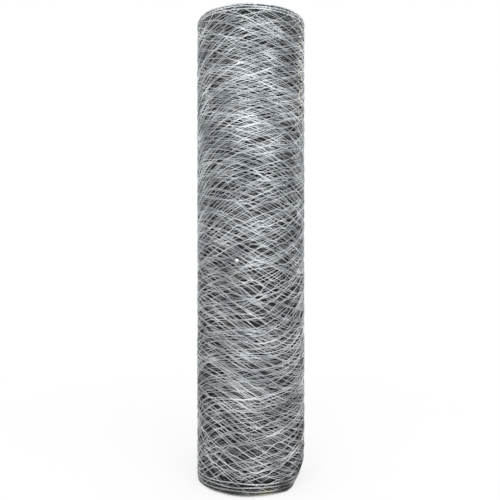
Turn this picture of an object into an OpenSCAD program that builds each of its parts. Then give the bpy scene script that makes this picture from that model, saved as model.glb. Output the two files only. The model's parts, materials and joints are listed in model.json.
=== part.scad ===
// A roll of hexagonal wire netting that stands on its end.
// The netting is wound on itself round an open bore, and the edge of each turn shows on both ends.
// The origin is on the roll's axis where it stands, and +Z is up along the axis.

/* [Netting] */
// Width of the netting, which is the height of the standing roll
netting_width = 609.6; // [150:0.1:1830]
// Length of the netting that is wound up
netting_length = 15240; // [3000:10:30000]
// Thickness that one turn takes in the roll, with the meshes pressed into each other
turn_thickness = 1.0; // [0.9:0.01:2]

/* [Winding] */
// Diameter of the open bore that is left by the winding mandrel
bore_d = 40; // [16:1:80]

/* [Turns on the ends] */
// Width of the flat on the edge of a turn, which is about the flat side of the edge wire
edge_flat = 0.5; // [0.2:0.05:0.8]
// Depth of the gap between the edges of two turns
gap_depth = 2.5; // [0.5:0.1:6]

/* [Steps of the outer turns] */
// Number of outer turns whose lower edges stand up from the foot
foot_turns = 3; // [0:1:6]
// How much higher the lower edge of each of them stands than that of the turn inside it
foot_step = 4; // [0:0.1:8]
// Number of outer turns whose upper edges lie below the top
top_turns = 2; // [0:1:6]
// How much lower the upper edge of each of them lies than that of the turn inside it
top_step = 3.2; // [0:0.1:8]

/* [Hidden] */
$fn = 128;

bore_r = bore_d / 2;
// The side of the netting seen from its edge has this area, which fills the ring between bore and outside
edge_area = netting_length * turn_thickness;
roll_r = sqrt(bore_r * bore_r + edge_area / PI);
// The ring holds a whole number of turns, so that each end has a full edge at the bore and at the outside
turns = round((roll_r - bore_r) / turn_thickness);
turn_step = (roll_r - bore_r) / turns;

// Heights of the lower and upper edge of turn number k, counted from the bore outwards
function foot_edge(k) = foot_step * max(0, k - turns + foot_turns);
function top_edge(k) = netting_width - top_step * max(0, k - turns + top_turns);

// Points of the gap outside turn number k, between its own edge and that of the next turn.
// The gap is depth deep in that next turn's edge, upwards where depth is positive.
function gap_points(k, own_edge, next_edge, depth) =
    let (r = bore_r + k * turn_step, half_mouth = (turn_step - edge_flat) / 2)
    [[r - half_mouth, own_edge], [r, next_edge + depth], [r + half_mouth, next_edge]];

// All gaps of each end, from the bore outwards
foot_points = [for (k = [1 : turns - 1]) each gap_points(k, foot_edge(k), foot_edge(k + 1), gap_depth)];
top_points = [for (k = [1 : turns - 1]) each gap_points(k, top_edge(k), top_edge(k + 1), -gap_depth)];

function reversed(points) = [for (i = [len(points) - 1 : -1 : 0]) points[i]];

// Half section of the roll: along the foot, up the outside, along the top and down the bore
module half_section() {
    polygon(concat(
        [[bore_r, foot_edge(1)]],
        foot_points,
        [[roll_r, foot_edge(turns)], [roll_r, top_edge(turns)]],
        reversed(top_points),
        [[bore_r, top_edge(1)]]
    ));
}

module netting_roll() {
    color("darkgray")
        rotate_extrude()
            half_section();
}

netting_roll();
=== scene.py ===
# Looks of a roll of galvanised hexagonal wire netting that stands on its end.
# The netting is laid out flat as wires in (length, height, lift), and then wound on the roll's spiral.
# The turns that show are wires from edge to edge, and the turns between them are wires at the ends only.
import bmesh
import bpy
import json
import math
import numpy as np
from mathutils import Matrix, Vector


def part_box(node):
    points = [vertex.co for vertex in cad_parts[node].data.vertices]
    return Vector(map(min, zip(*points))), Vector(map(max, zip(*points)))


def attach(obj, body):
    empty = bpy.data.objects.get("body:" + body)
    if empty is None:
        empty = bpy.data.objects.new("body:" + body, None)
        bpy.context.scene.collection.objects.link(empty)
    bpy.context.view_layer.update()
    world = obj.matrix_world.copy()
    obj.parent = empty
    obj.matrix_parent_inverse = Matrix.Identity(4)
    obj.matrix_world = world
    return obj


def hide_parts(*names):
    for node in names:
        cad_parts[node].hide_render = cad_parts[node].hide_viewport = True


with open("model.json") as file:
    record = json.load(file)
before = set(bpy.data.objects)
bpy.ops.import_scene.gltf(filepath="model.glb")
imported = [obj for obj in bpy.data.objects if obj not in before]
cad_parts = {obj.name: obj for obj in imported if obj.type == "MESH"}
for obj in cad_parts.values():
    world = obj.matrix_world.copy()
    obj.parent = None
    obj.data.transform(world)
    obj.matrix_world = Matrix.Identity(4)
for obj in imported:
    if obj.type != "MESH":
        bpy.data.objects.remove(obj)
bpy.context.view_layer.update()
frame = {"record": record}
MM = 0.001

# The roll, from the frame
LOW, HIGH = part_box("netting_roll")
ROLL_HEIGHT = HIGH.z - LOW.z
ROLL_RADIUS = HIGH.x
BORE = [m for m in frame["record"]["mounts"] if m["name"] == "spindle_bore"][0]
BORE_RADIUS = BORE["dims"]["r_mm"] * MM

# The netting
WIRE = 0.9 * MM  # diameter of the galvanised wire
MESHES = 16  # hexagons across the netting
ROWS = 2 * MESHES  # steps from edge to edge, with a row of twists at each
TURN = 1.009 * MM  # thickness that one turn takes
REPEAT = 94 * MM  # from one twist to the next in a row; winding has drawn the hexagons out
HALF_REPEAT = REPEAT / 2  # a step along the netting, in which a wire goes from one row to the next
TWIST = 7 * MM  # length of a twist of two wires
HALF_TURNS = 3  # half turns in a twist, so that each wire goes on in its direction
EDGE_PITCH = 9 * MM  # one full turn of the two wires of the edge
EDGE_REACH = 0.58 * WIRE  # from the edge's middle to a wire that turns round it, as three wires touch
EDGE_HEIGHT = EDGE_REACH + 0.75 * WIRE  # of the edge's middle above the end, before it strays inwards
EDGE_WALK = 0.9 * MM  # how far the edges of the turns stray inwards

# How the netting lies, matched to the real roll
ROW_SKEW = -0.1  # rows are closer towards the top
ROW_BULGE = -0.1  # and closer at mid height than at both edges
# The netting was wound askew. These are heights in radii of the roll, of waves with 1, 2, 3 and 4 halves
# over its height, and a positive one makes the rows
TILT_SIDE = (0.14, -0.08, 0.03)  # rise to the right
TILT_FRONT = (-0.035, 0.125, -0.08, -0.14)  # fall to the front
TILT_FOLD = (0.155, 0.025, 0.04)  # fall to the right, seen from the front and from behind alike
DRIFT_HEIGHT = 3.5 * MM  # how far rows stray up and down
DRIFT_LENGTH = 6.0 * MM  # how far twists stray along the netting
DRIFT_ZONE = 24 * MM  # from the ends, over which the rows come to stray that far
STRAY_ALONG = 1.4 * MM  # how far a single twist strays along the netting on top of that
STRAY_UP = 0.8 * MM  # how far it strays up and down
STRAY_OUT = 0.15 * MM  # how far it strays in and out
LIFT = 0.15 * MM  # how far neighbouring wires stray in and out together
BOW = 0.4 * MM  # how far a wire bows up or down between two twists
FOOT_STEP = 4.0 * MM  # each outer turn's lower edge stands that much above the next one in
FOOT_RAISE = 13 * MM  # how far the lower edge stands above the others at the free end
TOP_STEP = 3.2 * MM  # each outer turn's upper edge lies that much below the next one in
TOP_DROP = 7 * MM  # how far the upper edge lies below the others at the free end
DENT_MIDDLE = 94  # degrees round to the right of the view, where the foot is pressed in
DENT_HALF = 58  # degrees from there to where the dent ends on each side
DENT_EASE = 36  # degrees over which it comes to its full depth
DENT_DEPTH = 0.14  # of the roll's radius, right at the foot
DENT_HEIGHT = 0.07  # of the roll's height, up to where the dent ends

# Winding
OUTER = ROLL_RADIUS - 0.55 * WIRE  # radius of the middle of the outer turn
REACH = ROLL_RADIUS - 0.52 * WIRE  # largest radius of a wire's middle, so that it stays within the roll
TURNS = (OUTER - BORE_RADIUS) / TURN  # from the outside to the bore
INNERMOST = TURNS - 1  # of these, up to where the wires end, so that they stay clear of the bore
FREE_END = math.radians(66)  # where the netting ends on the outside, round to the right of the view
SHOWN = 36  # outer turns that are wires from edge to edge
BORE_TURNS = 4  # turns round the bore that are such wires too
BORE_FIRST = INNERMOST - BORE_TURNS  # turns from the outside to where these start
PRESSED_TURN = 0.08 * MM  # thickness that a shown turn adds away from the ends, pressed into the others
LOOSE = 4  # outer turns whose edges stand one above the other
EDGE_TURN = 0.45 * MM  # thickness that each of those edges adds
SETTLED = 3 * LOOSE  # turns from the outside to where the edges lie as deep as full turns
END_ZONE = 20 * MM  # from the ends, where the pressed turns come apart
END_SHARE = 0.3  # of that zone, next to the end, where they are all the way apart
END_ROWS = 2  # steps of the wires that the turns between have on each side of an edge twist

# Marks on the wires: degrees round to the right of the view, height and reach in mm, strength and colour
MARKS = [(16, 4, 12, 0.7, "#cbc2b0"), (36, 8, 16, 0.75, "#4e4342"), (2, 2, 9, 0.5, "#aaa292"),
         (-18, 272, 17, 0.25, "#8c9078"), (-22, 212, 11, 0.3, "#8f756e"), (64, 520, 24, 0.12, "#a8938c"),
         (66, 492, 24, 0.12, "#a8938c"), (-70, 120, 30, 0.25, "#a08c88"), (72, 60, 30, 0.25, "#a08c88")]
LUMP_ANGLE = -14.1  # degrees round to the right of the view, of the lump of white rust
LUMP_HEIGHT = 291.5 * MM
LUMP_SIZE = (5.6 * MM, 2.4 * MM, 5.0 * MM)  # along the roll's side, outwards and up

# Shade inside the roll
SHADE_STARTS = 0.3 * MM  # depth under the outer turn at which drawn shade sets in
END_DROP = 12 * MM  # from the ends down to the shaded turns

# Light, floor and camera
AIR_LIGHT = 0.88  # soft light from all sides
FLOOR = 30.0  # metres from the roll to the floor's border
CAMERA_AWAY = 10.86 * ROLL_RADIUS
CAMERA_LENS = 41.94  # mm, on a sensor that is 36 mm wide
CAMERA_SHIFT = -0.0017  # of the picture's width, since the roll stands a little right of its middle

SEED = 20  # of the twists; the cut ends and the lump have the next two


def hex_linear(code):
    """Linear RGBA of an sRGB hex colour."""
    parts = [int(code[i:i + 2], 16) / 255 for i in (1, 3, 5)]
    return [c / 12.92 if c <= 0.04045 else ((c + 0.055) / 1.055) ** 2.4 for c in parts] + [1]


def smooth(t):
    """Eases from 0 to 1."""
    t = np.clip(t, 0, 1)
    return t * t * (3 - 2 * t)


def angle_back(s):
    """Angle wound between the free end and the point that is s metres of netting before it."""
    return (OUTER - np.sqrt(OUTER**2 - TURN * s / math.pi)) * 2 * math.pi / TURN


def length_back(angle):
    """Metres of netting in that angle, counted from the free end."""
    return OUTER * angle - TURN * angle**2 / (4 * math.pi)


def turn_start(k):
    """Length of netting outside turn k, counted from the outer turn."""
    return length_back(2 * math.pi * k)


def waves(count, size_s, size_z, seed):
    """A smooth random field over the sheet, of about unit height, with swells of those two sizes."""
    r = np.random.default_rng(seed)
    along = r.normal(0, 1 / size_s, count)
    up = r.normal(0, 1 / size_z, count)
    phase = r.uniform(0, 2 * math.pi, count)
    tall = r.uniform(0.5, 1, count)
    tall = tall / np.sqrt((tall**2).sum() / 2)

    def field(s, z):
        out = np.zeros(np.broadcast(s, z).shape)
        for a, b, p, t in zip(along, up, phase, tall):
            out += t * np.sin(2 * math.pi * (a * s + b * z) + p)
        return out

    return field


def swells(count, size_across, size_z, size_turns, seed):
    """The same over the wound roll, where turns that lie on each other have drifted much alike."""
    r = np.random.default_rng(seed)
    across = r.normal(0, 1 / size_across, (2, count))
    up = r.normal(0, 1 / size_z, count)
    inward = r.normal(0, 1 / size_turns, count)
    phase = r.uniform(0, 2 * math.pi, count)
    tall = r.uniform(0.5, 1, count)
    tall = tall / np.sqrt((tall**2).sum() / 2)

    def field(s, z):
        back = angle_back(s)
        x, y = ROLL_RADIUS * np.sin(FREE_END - back), ROLL_RADIUS * np.cos(FREE_END - back)
        out = np.zeros(np.broadcast(s, z).shape)
        for a, b, c, d, p, t in zip(across[0], across[1], up, inward, phase, tall):
            out += t * np.sin(2 * math.pi * (a * x + b * y + c * z + d * back / (2 * math.pi)) + p)
        return out

    return field


drift_height = swells(count=14, size_across=250 * MM, size_z=200 * MM, size_turns=5, seed=1)
drift_length = swells(count=14, size_across=200 * MM, size_z=150 * MM, size_turns=5, seed=2)
press = waves(count=12, size_s=50 * MM, size_z=40 * MM, seed=3)
# The same at every height, since its swells are endlessly high
edge_walk = waves(count=9, size_s=130 * MM, size_z=1e9, seed=4)


def row_height(row):
    """Height of a row of twists above the foot, from row 0, the lower edge, to the upper edge."""
    u = row / ROWS
    share = u + ROW_SKEW * (u * u - u) / 2 - ROW_BULGE * np.sin(2 * math.pi * u) / (4 * math.pi)
    return EDGE_HEIGHT + (ROLL_HEIGHT - 2 * EDGE_HEIGHT) * share


def up_the_roll(tall, z):
    """A sum of waves with 1, 2, 3 and more halves over the roll's height, each as tall as given."""
    u = np.clip(z / ROLL_HEIGHT, 0, 1)
    return sum(t * np.sin((k + 1) * math.pi * u) for k, t in enumerate(tall))


def tilt(around, z):
    """How much higher the netting lies at that angle than in straight winding."""
    side, front, fold = (up_the_roll(tall, z) for tall in (TILT_SIDE, TILT_FRONT, TILT_FOLD))
    return ROLL_RADIUS * (side * np.sin(around) - front * np.cos(around) - fold * np.sin(2 * around))


def foot_dent(around, z):
    """Share of the radius by which the foot is pressed in, low down on the right."""
    from_dent = np.abs((np.degrees(around) - DENT_MIDDLE + 180) % 360 - 180)
    side = smooth((DENT_HALF - from_dent) / DENT_EASE)
    return DENT_DEPTH * side * np.clip(1 - z / (DENT_HEIGHT * ROLL_HEIGHT), 0, 1)**2


def depth_at_end(turns_in):
    """Depth of a turn's edge under the outer turn, to which the loose turns add little."""
    return np.interp(turns_in, [0, LOOSE, SETTLED, TURNS],
                     [0, LOOSE * EDGE_TURN, SETTLED * TURN, TURNS * TURN])


def depth_between(turns_in):
    """The same away from the ends, where the turns that show are pressed together."""
    return np.interp(turns_in, [0, SHOWN, TURNS], [0, SHOWN * PRESSED_TURN, TURNS * TURN])


def wind(s, z, lift):
    """Points on the roll of the netting's points: length before the free end, height and lift."""
    back = angle_back(s)
    turns_in = back / (2 * math.pi)
    to_end = np.minimum(z, ROLL_HEIGHT - z)
    pressed = smooth((to_end - END_SHARE * END_ZONE) / ((1 - END_SHARE) * END_ZONE))
    # The edges of the outer turns stand in from the ends, one after the other
    up = np.clip(FOOT_RAISE - FOOT_STEP * turns_in, 0, FOOT_RAISE) * (1 - z / ROLL_HEIGHT)
    down = np.clip(TOP_DROP - TOP_STEP * turns_in, 0, TOP_DROP) * z / ROLL_HEIGHT
    z = z + up - down
    depth = depth_at_end(turns_in) * (1 - pressed) + depth_between(turns_in) * pressed
    r = np.minimum(OUTER - depth + lift, REACH)
    around = FREE_END - back
    z = z + tilt(around, z)
    r = r * (1 - foot_dent(around, z))
    return np.stack([r * np.sin(around), -r * np.cos(around), z], -1)


def lay(s, z, lift):
    """The same for points of the regular netting, which has drifted a little as it was wound."""
    inner = smooth(np.minimum(z, ROLL_HEIGHT - z) / DRIFT_ZONE)
    walk = EDGE_WALK * (0.5 + 0.5 * np.tanh(edge_walk(s, 0 * s))) * (1 - 2 * z / ROLL_HEIGHT)
    # Along the netting the drift fades out towards the free end
    s = s + DRIFT_LENGTH * drift_length(s, z) * smooth(s / HALF_REPEAT)
    z = z + DRIFT_HEIGHT * drift_height(s, z) * inner + walk
    return wind(s, z, lift + LIFT * press(s, z))


# How far each twist strays from the regular pattern, and how far each wire bows
stray = np.random.default_rng(SEED)
STRAY_STEPS = 700  # more steps than the netting has
STRAY_S = stray.normal(0, STRAY_ALONG, (ROWS + 1, STRAY_STEPS))
STRAY_Z = stray.normal(0, STRAY_UP, (ROWS + 1, STRAY_STEPS))
STRAY_R = stray.normal(0, STRAY_OUT, (ROWS + 1, STRAY_STEPS))
STRAY_BOW = stray.normal(0, BOW, (2 * ROWS, STRAY_STEPS))


def all_wires(first, last):
    """Phase and step of every wire between two turns. The phase counts the rows up and down again."""
    first_step = math.ceil(turn_start(first) / HALF_REPEAT)
    last_step = math.floor(turn_start(last) / HALF_REPEAT)
    steps = np.arange(first_step, last_step + 1)
    phase = (np.arange(0, 2 * ROWS, 2)[:, None] + steps) % (2 * ROWS)
    return phase, np.broadcast_to(steps, phase.shape)


def wires_at_ends(first, last):
    """Phase and step of the same wires where they come to an edge and go back from it."""
    steps = np.arange(math.ceil(turn_start(first) / REPEAT), math.floor(turn_start(last) / REPEAT)) * 2
    near = np.arange(-END_ROWS, END_ROWS)
    step = steps[:, None] + near
    phase = np.concatenate([0 * step + near, 0 * step + ROWS + near]) % (2 * ROWS)
    return phase, np.concatenate([step, step])


def netting_wires(here, step, twist_points, run_points):
    """Paths of wires from their phases and steps, as wires by points by xyz."""
    there = (here + 1) % (2 * ROWS)

    def twist_of(phase, step):
        """Place and turning of the twist that a wire is in."""
        row = np.where(phase <= ROWS, phase, 2 * ROWS - phase)
        at_edge = (row == 0) | (row == ROWS)
        s = step * HALF_REPEAT + STRAY_S[row, step]
        z = row_height(row) + STRAY_Z[row, step] * ~at_edge
        # A wire turns round the edge and comes back, and anywhere else it crosses to the far side
        reach = np.where(at_edge, EDGE_REACH, WIRE / 2)
        rising = np.where(phase < ROWS, 1.0, -1.0)
        start = np.where(at_edge, np.where(row == 0, 1.0, -1.0), -rising) * math.pi / 2
        swing = np.where(at_edge, 2 * math.pi, HALF_TURNS * math.pi)
        return s, z, STRAY_R[row, step], reach, start, swing

    s0, z0, r0, reach0, start0, swing0 = (v[..., None] for v in twist_of(here, step))
    s1, z1, r1, reach1, start1, _ = (v[..., None] for v in twist_of(there, step + 1))
    u = np.linspace(0, 1, twist_points)
    turn = start0 + swing0 * u
    twist_s = s0 + (u - 0.5) * TWIST + 0 * turn
    twist_z = z0 + reach0 * np.sin(turn)
    twist_r = r0 + reach0 * np.cos(turn)
    w = (np.arange(run_points) + 1) / (run_points + 1)
    from_z = z0 + reach0 * np.sin(start0 + swing0)
    to_z = z1 + reach1 * np.sin(start1)
    run_s = s0 + TWIST / 2 + (s1 - s0 - TWIST) * w
    run_z = from_z + (to_z - from_z) * w + STRAY_BOW[here, step][..., None] * np.sin(math.pi * w)
    run_r = r0 + (r1 - r0) * w
    count = len(here)
    s = np.concatenate([twist_s, run_s], -1).reshape(count, -1)
    z = np.concatenate([twist_z, run_z], -1).reshape(count, -1)
    r = np.concatenate([twist_r, run_r], -1).reshape(count, -1)
    return lay(s, z, r)


def cut_ends():
    """Paths of the wire ends past the last twists, cut a little long and hooked into the turn below."""
    r = np.random.default_rng(SEED + 1)
    straight_points = 3
    bend_points = 7
    paths = []
    for row in range(0, ROWS + 1, 2):
        for side in (-1, 1):
            # Length before the hook, its radius, how far the two ends spread and how far they bend
            long = r.uniform(2, 9) * MM
            hook = r.uniform(1.0, 1.9) * MM
            spread = side * r.uniform(0.5, 7) * MM
            bend = np.linspace(0, r.uniform(0.6, 1.3) * math.pi, bend_points)
            straight = np.linspace(0, long, straight_points + 1)[:-1]
            out = np.concatenate([straight, long + hook * np.sin(bend)])
            inward = np.concatenate([np.zeros(straight_points), hook * (1 - np.cos(bend))])
            away = smooth(out / (long + hook))
            s = STRAY_S[row, 0] - TWIST / 2 - out
            z = row_height(row) + STRAY_Z[row, 0] + side * WIRE / 2 + spread * away
            lift = STRAY_R[row, 0] + 0.5 * WIRE * away - inward
            paths.append(lay(s, z, lift))
    return np.stack(paths)


def edge_wires(first, last, spacing, row):
    """Paths of the two twisted wires of an edge, which is row 0 or the last row."""
    s = np.linspace(first, last, int((last - first) / spacing))
    paths = []
    for start in (0, math.pi):
        turn = 2 * math.pi * s / EDGE_PITCH + start
        paths.append(lay(s, row_height(row) + WIRE / 2 * np.sin(turn), WIRE / 2 * np.cos(turn)))
    return np.stack(paths)


def add_piece(name, mesh, material):
    """Puts a mesh of one material into the scene."""
    mesh.materials.append(material)
    piece = bpy.data.objects.new(name, mesh)
    bpy.context.scene.collection.objects.link(piece)
    return piece


def tubes(name, paths, sides, material):
    """One mesh of closed tubes, as thick as the wire, along an array of paths by points by xyz."""
    count, points = paths.shape[:2]
    ahead = np.gradient(paths, axis=1)
    ahead /= np.linalg.norm(ahead, axis=-1, keepdims=True)
    outward = paths * [1, 1, 0]
    outward /= np.linalg.norm(outward, axis=-1, keepdims=True)
    side = np.cross(ahead, outward)
    side /= np.linalg.norm(side, axis=-1, keepdims=True)
    up = np.cross(side, ahead)
    turn = (np.arange(sides) * 2 * math.pi / sides)[:, None]
    ring = (up[:, :, None] * np.cos(turn) + side[:, :, None] * np.sin(turn)) * (WIRE / 2)
    verts = (paths[:, :, None] + ring).reshape(-1, 3)
    index = np.arange(count * points * sides).reshape(count, points, sides)
    after = np.roll(index, -1, axis=2)
    quads = np.stack([index[:, :-1], after[:, :-1], after[:, 1:], index[:, 1:]], -1).reshape(-1, 4)
    caps = np.concatenate([index[:, 0, ::-1], index[:, -1]]).reshape(-1, sides)
    sizes = np.concatenate([np.full(len(quads), 4), np.full(len(caps), sides)])
    mesh = bpy.data.meshes.new(name)
    mesh.vertices.add(len(verts))
    mesh.vertices.foreach_set("co", verts.astype(np.float32).ravel())
    mesh.loops.add(int(sizes.sum()))
    mesh.loops.foreach_set("vertex_index", np.concatenate([quads.ravel(), caps.ravel()]).astype(np.int32))
    mesh.polygons.add(len(sizes))
    mesh.polygons.foreach_set("loop_start", (np.cumsum(sizes) - sizes).astype(np.int32))
    mesh.polygons.foreach_set("use_smooth", np.ones(len(sizes), bool))
    mesh.update(calc_edges=True)
    return add_piece(name, mesh, material)


def turned(name, outline, material, steps=128):
    """A closed surface turned from a closed outline of (radius, height) points."""
    around = np.arange(steps) * 2 * math.pi / steps
    r, z = np.array(outline).T
    verts = np.stack([np.outer(np.sin(around), r), -np.outer(np.cos(around), r),
                      np.broadcast_to(z, (steps, len(r)))], -1).reshape(-1, 3)
    index = np.arange(steps * len(r)).reshape(steps, len(r))
    beside, above = np.roll(index, -1, axis=0), np.roll(index, -1, axis=1)
    faces = np.stack([index, beside, np.roll(beside, -1, axis=1), above], -1).reshape(-1, 4)
    mesh = bpy.data.meshes.new(name)
    mesh.from_pydata(verts.tolist(), [], faces.tolist())
    mesh.update()
    return add_piece(name, mesh, material)


def crust(name, degrees, z, size, material):
    """A small uneven lump on the outer wires, of that size along the roll's side, outwards and up."""
    knob_count = 9
    between = 0.72  # share of the lump's full size that it has between its knobs
    knob_height = 0.3  # what the middle of a knob adds to that
    knob_border = 0.75  # cosine of the angle from a knob's middle to its border
    mesh = bpy.data.meshes.new(name)
    ball = bmesh.new()
    bmesh.ops.create_icosphere(ball, subdivisions=3, radius=0.5)
    r = np.random.default_rng(SEED + 2)
    knobs = r.normal(0, 1, (knob_count, 3))
    knobs /= np.linalg.norm(knobs, axis=1)[:, None]
    around = math.radians(degrees)
    along = Vector((math.cos(around), math.sin(around), 0))
    out = Vector((math.sin(around), -math.cos(around), 0))
    # A little more than half of its size in, so that no knob stands out of the roll
    middle = out * (ROLL_RADIUS - 0.6 * size[1]) + Vector((0, 0, z))
    for v in ball.verts:
        nearest = (knobs @ np.array(v.co.normalized())).max()
        knob = float(smooth((nearest - knob_border) / (1 - knob_border)))
        grown = v.co * (between + knob_height * knob)
        up = Vector((0, 0, grown.z * size[2]))
        v.co = middle + along * grown.x * size[0] + out * grown.y * size[1] + up
    for face in ball.faces:
        face.smooth = True
    ball.to_mesh(mesh)
    ball.free()
    return add_piece(name, mesh, material)


def node(tree, kind, links=(), **settings):
    """Adds a node with its settings and the links or values of its inputs."""
    made = tree.nodes.new(kind)
    for key, value in settings.items():
        setattr(made, key, value)
    for key, source in dict(links).items():
        if isinstance(source, bpy.types.NodeSocket):
            tree.links.new(source, made.inputs[key])
        else:
            made.inputs[key].default_value = source
    return made


def new_material(name):
    """A material with its node tree and its shader."""
    material = bpy.data.materials.new(name)
    material.use_nodes = True
    return material, material.node_tree, material.node_tree.nodes["Principled BSDF"]


def bright_zinc():
    """Cut and bent ends of the wire, rubbed bright."""
    material, tree, shader = new_material("bright_zinc")
    shader.inputs["Metallic"].default_value = 1.0
    where = node(tree, "ShaderNodeTexCoord").outputs["Object"]
    # Rubbed and dull stretches follow each other every 4 mm or so
    rubs_and_glint_noise = node(tree, "ShaderNodeTexNoise", {"Vector": where, "Scale": 1 / (4 * MM), "Detail": 2.0})
    colour = node(tree, "ShaderNodeValToRGB", {"Fac": rubs_and_glint_noise.outputs["Fac"]})
    ramp = colour.color_ramp.elements
    ramp[0].position, ramp[0].color = 0.35, hex_linear("#dfe2e3")
    ramp[1].position, ramp[1].color = 0.6, hex_linear("#fafbfb")
    tree.links.new(colour.outputs["Color"], shader.inputs["Base Color"])
    rough = node(tree, "ShaderNodeMapRange",
                 {"Value": rubs_and_glint_noise.outputs["Fac"], "To Min": 0.55, "To Max": 0.35})
    tree.links.new(rough.outputs["Result"], shader.inputs["Roughness"])
    return material


def white_rust():
    """White rust, the chalky crust that zinc grows where it stays wet: matt, nearly white and grainy."""
    material, tree, shader = new_material("white_rust")
    shader.inputs["Roughness"].default_value = 0.9
    where = node(tree, "ShaderNodeTexCoord").outputs["Object"]
    # A grain every 0.8 mm or so
    grains = node(tree, "ShaderNodeTexNoise", {"Vector": where, "Scale": 1 / (0.8 * MM), "Detail": 2.0})
    colour = node(tree, "ShaderNodeValToRGB", {"Fac": grains.outputs["Fac"]})
    ramp = colour.color_ramp.elements
    ramp[0].position, ramp[0].color = 0.3, hex_linear("#dcdfdf")
    ramp[1].position, ramp[1].color = 0.6, hex_linear("#fafafa")
    tree.links.new(colour.outputs["Color"], shader.inputs["Base Color"])
    bump = node(tree, "ShaderNodeBump",
                {"Height": grains.outputs["Fac"], "Strength": 0.5, "Distance": 0.3 * MM})
    tree.links.new(bump.outputs["Normal"], shader.inputs["Normal"])
    return material


def stained_and_darker_low(tree, where, height, colour):
    """The colour with stains here and there, and darker towards the foot."""
    # A faint stain every 12 mm or more
    stains = node(tree, "ShaderNodeTexNoise", {"Vector": where, "Scale": 1 / (12 * MM), "Detail": 2.0})
    stains_and_low_dark = node(tree, "ShaderNodeMapRange",
                {"Value": stains.outputs["Fac"], "From Min": 0.6, "From Max": 0.75,
                 "To Min": 0.0, "To Max": 0.35})
    # Darker up to 330 mm above the foot, and darker still on the lowest 25 mm
    for top, most in ((330 * MM, 0.2), (25 * MM, 0.6)):
        more = node(tree, "ShaderNodeMapRange",
                    {"Value": height, "From Min": top, "From Max": 0.0, "To Min": 0.0, "To Max": most})
        stains_and_low_dark = node(tree, "ShaderNodeMath", {0: stains_and_low_dark.outputs[0], 1: more.outputs["Result"]},
                    operation="MAXIMUM")
    return node(tree, "ShaderNodeMix",
                {"Factor": stains_and_low_dark.outputs[0], "A": colour, "B": hex_linear("#7b7772")},
                data_type="RGBA").outputs["Result"]


def marked(tree, where, colour):
    """The colour with earth, rust and moss in single places, which thin out towards their borders."""
    for degrees, z, reach, most, code in MARKS:
        around = math.radians(degrees)
        spot = (ROLL_RADIUS * math.sin(around), -ROLL_RADIUS * math.cos(around), z * MM)
        far = node(tree, "ShaderNodeVectorMath", {0: where, 1: spot}, operation="DISTANCE")
        mark = node(tree, "ShaderNodeMapRange",
                    {"Value": far.outputs["Value"], "From Min": reach * MM, "From Max": 0.4 * reach * MM,
                     "To Min": 0.0, "To Max": most})
        colour = node(tree, "ShaderNodeMix", {"Factor": mark.outputs["Result"], "A": colour,
                                              "B": hex_linear(code)}, data_type="RGBA").outputs["Result"]
    return colour


def painted_glints_at_free_end(tree, where, across, height, colour):
    """The colour with near-white spots along the upper part of the free end, painted glints of the cut
    ends there.
    """
    free_line = (ROLL_RADIUS * math.sin(FREE_END), -ROLL_RADIUS * math.cos(FREE_END), 0)
    from_line = node(tree, "ShaderNodeVectorMath", {0: across, 1: free_line}, operation="DISTANCE")
    beside = node(tree, "ShaderNodeMapRange",
                  {"Value": from_line.outputs["Value"], "From Min": 12 * MM, "From Max": 7 * MM})
    upper = node(tree, "ShaderNodeMapRange",
                 {"Value": height, "From Min": 445 * MM, "From Max": 475 * MM})
    # Painted glints: spots some 2 mm across, one every 4 mm or more
    rubs_and_glint_noise = node(tree, "ShaderNodeTexNoise", {"Vector": where, "Scale": 1 / (4 * MM), "Detail": 0.0})
    glint_specks = node(tree, "ShaderNodeMapRange",
                  {"Value": rubs_and_glint_noise.outputs["Fac"], "From Min": 0.52, "From Max": 0.56})
    for near in (beside, upper):
        glint_specks = node(tree, "ShaderNodeMath", {0: glint_specks.outputs[0], 1: near.outputs["Result"]},
                      operation="MULTIPLY")
    return node(tree, "ShaderNodeMix",
                {"Factor": glint_specks.outputs[0], "A": colour, "B": hex_linear("#fffdf8")},
                data_type="RGBA").outputs["Result"]


def shaded_by_depth(tree, across, height, colour):
    """The colour darkened from the outer turn inwards, away from the ends.

    The turns are pressed together there more than real ones, so the shade that the outer ones throw on
    those under them is partly painted. The painted shade is stronger in the lower half.
    """
    radius = node(tree, "ShaderNodeVectorMath", {0: across}, operation="LENGTH")
    # The painted shade is strongest below 250 mm above the foot and least above 330 mm
    most = node(tree, "ShaderNodeMapRange",
                {"Value": height, "From Min": 330 * MM, "From Max": 250 * MM,
                 "To Min": 0.62, "To Max": 0.95})
    deep = node(tree, "ShaderNodeMapRange",
                {"Value": radius.outputs["Value"], "From Min": OUTER - SHADE_STARTS,
                 "From Max": OUTER - SHOWN * PRESSED_TURN,
                 "To Min": 0.0, "To Max": most.outputs["Result"]})
    off_middle = node(tree, "ShaderNodeMath", {0: height, 1: ROLL_HEIGHT / 2}, operation="SUBTRACT")
    from_middle = node(tree, "ShaderNodeMath", {0: off_middle.outputs[0]}, operation="ABSOLUTE")
    inside = node(tree, "ShaderNodeMapRange",
                  {"Value": from_middle.outputs[0], "From Min": ROLL_HEIGHT / 2,
                   "From Max": ROLL_HEIGHT / 2 - END_ZONE})
    shaded = node(tree, "ShaderNodeMath", {0: deep.outputs["Result"], 1: inside.outputs["Result"]},
                  operation="MULTIPLY")
    return node(tree, "ShaderNodeMix",
                {"Factor": shaded.outputs[0], "A": colour, "B": hex_linear("#1a1c1e")},
                data_type="RGBA").outputs["Result"]


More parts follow.
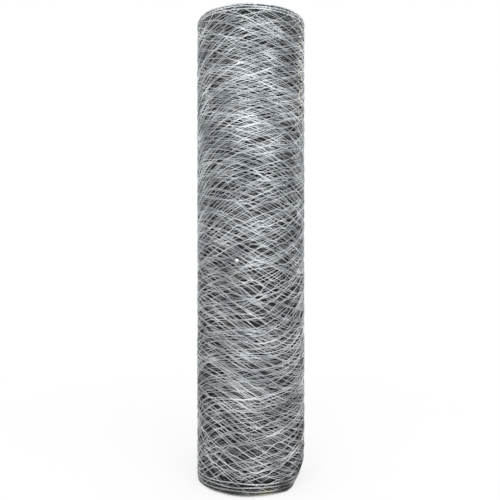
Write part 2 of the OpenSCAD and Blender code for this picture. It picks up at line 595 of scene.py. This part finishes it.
def hot_dip_zinc():
    """Hot-dip galvanised steel wire: bright zinc, dulled in patches, stained in places and darker towards
    the foot, with painted glints at the free end and painted shade in depth.
    """
    material, tree, shader = new_material("hot_dip_zinc")
    shader.inputs["Metallic"].default_value = 1.0
    where = node(tree, "ShaderNodeTexCoord").outputs["Object"]
    height = node(tree, "ShaderNodeSeparateXYZ", {"Vector": where}).outputs["Z"]
    across = node(tree, "ShaderNodeVectorMath", {0: where, 1: (1, 1, 0)}, operation="MULTIPLY").outputs[0]
    # A dull patch every 30 mm or so, from where the wire was wiped and how it aged
    patches = node(tree, "ShaderNodeTexNoise", {"Vector": where, "Scale": 1 / (30 * MM), "Detail": 3.0})
    zinc_colour = node(tree, "ShaderNodeValToRGB", {"Fac": patches.outputs["Fac"]})
    ramp = zinc_colour.color_ramp.elements
    ramp[0].position, ramp[0].color = 0.35, hex_linear("#b7bcc0")
    ramp[1].position, ramp[1].color = 0.65, hex_linear("#edf1f4")
    colour = stained_and_darker_low(tree, where, height, zinc_colour.outputs["Color"])
    colour = marked(tree, where, colour)
    # Painted glints of the cut ends near the free end
    colour = painted_glints_at_free_end(tree, where, across, height, colour)
    colour = shaded_by_depth(tree, across, height, colour)
    tree.links.new(colour, shader.inputs["Base Color"])
    # Zinc grains are 1 mm across or so, and are drawn every 3 mm so that they show
    grains = node(tree, "ShaderNodeTexNoise", {"Vector": where, "Scale": 1 / (3 * MM), "Detail": 2.0})
    rough = node(tree, "ShaderNodeMapRange",
                 {"Value": grains.outputs["Fac"], "From Min": 0.3, "From Max": 0.7,
                  "To Min": 0.26, "To Max": 0.5})
    tree.links.new(rough.outputs["Result"], shader.inputs["Roughness"])
    return material


def zinc_in_shade():
    """Deep in the roll the same wires get hardly any light, and show as a dark dull grey."""
    material, tree, shader = new_material("zinc_in_shade")
    shader.inputs["Roughness"].default_value = 0.8
    where = node(tree, "ShaderNodeTexCoord").outputs["Object"]
    # Some places let more light in than others, every 20 mm or so
    light = node(tree, "ShaderNodeTexNoise", {"Vector": where, "Scale": 1 / (20 * MM), "Detail": 2.0})
    colour = node(tree, "ShaderNodeValToRGB", {"Fac": light.outputs["Fac"]})
    ramp = colour.color_ramp.elements
    ramp[0].position, ramp[0].color = 0.35, hex_linear("#1a1c1e")
    ramp[1].position, ramp[1].color = 0.65, hex_linear("#323537")
    tree.links.new(colour.outputs["Color"], shader.inputs["Base Color"])
    return material


def seen_rays(tree):
    """1 for rays from the camera and for mirror and glass rays, which show the white stage."""
    path = node(tree, "ShaderNodeLightPath")
    sharp = node(tree, "ShaderNodeMath",
                 {0: path.outputs["Is Glossy Ray"], 1: path.outputs["Is Transmission Ray"]},
                 operation="MAXIMUM")
    return node(tree, "ShaderNodeMath", {0: path.outputs["Is Camera Ray"], 1: sharp.outputs[0]},
                operation="MAXIMUM").outputs[0]


def white_stage():
    """A white floor, which takes the roll's shadow near it and turns plain white farther off."""
    material, tree, shader = new_material("white_stage")
    shader.inputs["Base Color"].default_value = hex_linear("#fafafa")
    shader.inputs["Roughness"].default_value = 0.9
    glow = node(tree, "ShaderNodeEmission", {"Color": hex_linear("#ffffff"), "Strength": 1.0})
    where = node(tree, "ShaderNodeTexCoord").outputs["Object"]
    far = node(tree, "ShaderNodeVectorMath", {0: where}, operation="LENGTH")
    white = node(tree, "ShaderNodeMapRange",
                 {"Value": far.outputs["Value"], "From Min": 100 * MM, "From Max": 800 * MM,
                  "To Min": 0.7, "To Max": 1.0}, interpolation_type="SMOOTHSTEP")
    plain = node(tree, "ShaderNodeMath", {0: seen_rays(tree), 1: white.outputs["Result"]},
                 operation="MULTIPLY")
    mix = node(tree, "ShaderNodeMixShader",
               {"Fac": plain.outputs[0], 1: shader.outputs[0], 2: glow.outputs[0]})
    tree.links.new(mix.outputs[0], tree.nodes["Material Output"].inputs["Surface"])
    return material


def lamp(name, energy, width, height, place, target):
    """A soft lamp box that faces a point."""
    data = bpy.data.lights.new(name, "AREA")
    data.energy = energy
    data.shape = "RECTANGLE"
    data.size = width
    data.size_y = height
    made = bpy.data.objects.new(name, data)
    made.location = place
    made.rotation_euler = (Vector(target) - Vector(place)).to_track_quat("-Z", "Y").to_euler()
    bpy.context.scene.collection.objects.link(made)


# Pieces of the netting
zinc = hot_dip_zinc()
pieces = []
# Bands of turns: first and last turn, points in a twist, points in a run and sides of the tubes
BANDS = {"outer_turns": (0, LOOSE, 9, 4, 5), "second_turns": (LOOSE, 10, 7, 3, 4),
         "third_turns": (10, 22, 5, 3, 3), "fourth_turns": (22, SHOWN, 3, 3, 3),
         "bore_turns": (BORE_FIRST, INNERMOST, 7, 6, 4)}
for name, (first, last, in_twist, in_run, sides) in BANDS.items():
    pieces.append(tubes(name, netting_wires(*all_wires(first, last), in_twist, in_run), sides, zinc))
pieces.append(tubes("turns_between", netting_wires(*wires_at_ends(SHOWN, BORE_FIRST), 7, 4), 4, zinc))
pieces.append(tubes("cut_ends", cut_ends(), 6, bright_zinc()))
pieces.append(crust("white_rust_lump", LUMP_ANGLE, LUMP_HEIGHT, LUMP_SIZE, white_rust()))
# The edges have 8 points to a full turn of their wires on the loose turns, and 4 on the others
for end, row in (("foot", 0), ("top", ROWS)):
    outer = edge_wires(-TWIST, turn_start(LOOSE), EDGE_PITCH / 8, row)
    inner = edge_wires(turn_start(LOOSE), turn_start(INNERMOST), EDGE_PITCH / 4, row)
    pieces.append(tubes("outer_edges_" + end, outer, 5, zinc))
    pieces.append(tubes("inner_edges_" + end, inner, 3, zinc))

# A dark form under the turns that show, in place of the wires inside
SHADE_END = OUTER - depth_at_end(SHOWN) - WIRE
SHADE_MIDDLE = OUTER - depth_between(SHOWN) - WIRE
SHADE_BORE = BORE_RADIUS + (BORE_TURNS + 1) * TURN
outline = [(SHADE_BORE, END_DROP), (SHADE_END, END_DROP), (SHADE_MIDDLE, END_ZONE),
           (SHADE_MIDDLE, ROLL_HEIGHT - END_ZONE), (SHADE_END, ROLL_HEIGHT - END_DROP),
           (SHADE_BORE, ROLL_HEIGHT - END_DROP)]
pieces.append(turned("shaded_turns", outline, zinc_in_shade()))
for piece in pieces:
    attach(piece, "root")
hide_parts("netting_roll")

# Stage, light and camera
scene = bpy.context.scene
scene.view_settings.view_transform = "Standard"

world = bpy.data.worlds.new("studio")
scene.world = world
world.use_nodes = True
sky = world.node_tree
level = node(sky, "ShaderNodeMapRange", {"Value": seen_rays(sky), "To Min": AIR_LIGHT, "To Max": 1.0})
sky.nodes["Background"].inputs["Color"].default_value = hex_linear("#ffffff")
sky.links.new(level.outputs["Result"], sky.nodes["Background"].inputs["Strength"])

mesh = bpy.data.meshes.new("floor")
mesh.from_pydata([(-FLOOR, -FLOOR, 0), (FLOOR, -FLOOR, 0), (FLOOR, FLOOR, 0), (-FLOOR, FLOOR, 0)], [],
                 [(0, 1, 2, 3)])
floor = add_piece("floor", mesh, white_stage())

lamp("key", energy=14, width=2.2, height=0.7, place=(0.22, -1.3, 0.95), target=(0, 0, 0.6 * ROLL_HEIGHT))

camera_data = bpy.data.cameras.new("camera")
camera_data.lens = CAMERA_LENS
camera_data.sensor_width = 36
camera_data.shift_x = CAMERA_SHIFT
camera = bpy.data.objects.new("camera", camera_data)
camera.location = (0, -CAMERA_AWAY, ROLL_HEIGHT / 2)
camera.rotation_euler = (math.pi / 2, 0, 0)
scene.collection.objects.link(camera)
scene.camera = camera
